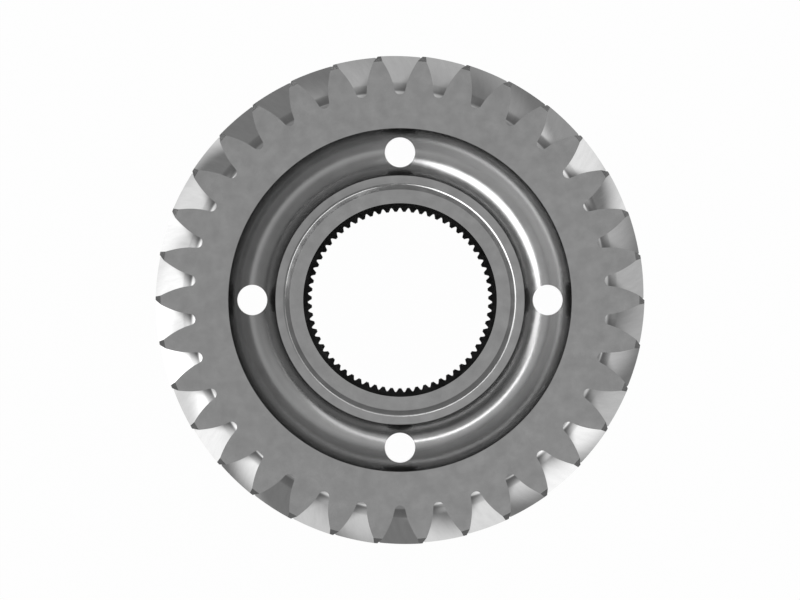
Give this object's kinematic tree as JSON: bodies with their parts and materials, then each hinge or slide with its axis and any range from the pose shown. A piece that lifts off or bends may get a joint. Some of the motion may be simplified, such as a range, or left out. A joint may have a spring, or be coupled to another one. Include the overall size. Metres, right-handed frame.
{
  "type": "driven gear",
  "caption": "Helical gear with a splined bore, a half-round groove and through holes in its web, a hub that stands out at the front, and a raised boss on each side.",
  "frame": {"origin": "centre of the rear hub boss face, which the gear lies on", "axes": "+Z along the gear's axis towards the front face; +X through the middle of a tooth at the front face; a spline space lies on +Y"},
  "size_m": [0.193, 0.193, 0.079],
  "materials": {
    "gear_steel": "bare steel, turned body and ground tooth flanks"
  },
  "bodies": {
    "root": {"driven_gear": "gear_steel"}
  },
  "joints": []
}
